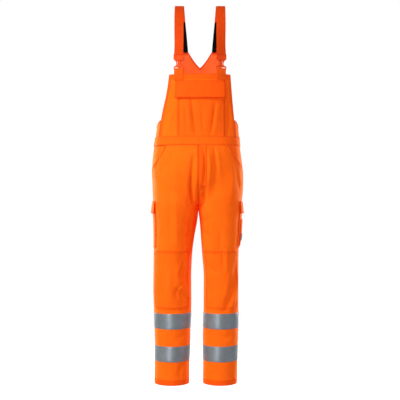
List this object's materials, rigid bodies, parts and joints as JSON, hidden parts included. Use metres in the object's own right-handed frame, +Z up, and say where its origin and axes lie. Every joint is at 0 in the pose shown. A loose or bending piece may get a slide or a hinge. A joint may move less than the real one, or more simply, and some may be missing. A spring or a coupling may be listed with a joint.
{
  "type": "high-visibility bib overalls",
  "caption": "Hollow bib overalls in high-visibility orange, filled out as when worn, with buckled shoulder straps, bib, thigh and knee pockets and reflective leg tapes.",
  "frame": {"origin": "midway between the two shoulder straps, at the height of their underside over the shoulders", "axes": "+Z up along the garment, -Y out of the garment's front, +X towards the wearer's left"},
  "size_m": [0.4048, 0.2809, 1.6545],
  "materials": {
    "orange_cloth": "fluorescent orange twill, matte with a soft sheen",
    "orange_webbing": "woven orange webbing",
    "orange_plastic": "moulded orange plastic, half matte",
    "black_elastic": "woven black elastic",
    "grey_tape": "retroreflective silver-grey tape",
    "grey_tab": "plain grey woven tab"
  },
  "bodies": {
    "root": {"bib_front": "orange_cloth", "bib_pocket": "orange_cloth", "bib_flap": "orange_cloth", "bib_back": "orange_cloth", "waistband_front": "orange_cloth", "waistband_back": "orange_cloth", "leg_front_right": "orange_cloth", "leg_front_left": "orange_cloth", "leg_back_right": "orange_cloth", "leg_back_left": "orange_cloth", "fly": "orange_cloth", "pocket_facing_right": "orange_cloth", "pocket_facing_left": "orange_cloth", "thigh_pocket_right": "orange_cloth", "thigh_pocket_left": "orange_cloth", "thigh_flap_right": "orange_cloth", "thigh_flap_left": "orange_cloth", "tool_pocket": "orange_cloth", "tool_tab": "grey_tab", "knee_pocket_right": "orange_cloth", "knee_pocket_left": "orange_cloth", "tape_upper_right": "grey_tape", "tape_upper_left": "grey_tape", "tape_lower_right": "grey_tape", "tape_lower_left": "grey_tape", "strap_right": "orange_webbing", "strap_left": "orange_webbing", "elastic_right": "black_elastic", "elastic_left": "black_elastic", "bib_tab_right": "orange_webbing", "bib_tab_left": "orange_webbing", "buckle_socket_right": "orange_plastic", "buckle_socket_left": "orange_plastic", "buckle_prongs_right": "orange_plastic", "buckle_prongs_left": "orange_plastic"}
  },
  "joints": []
}
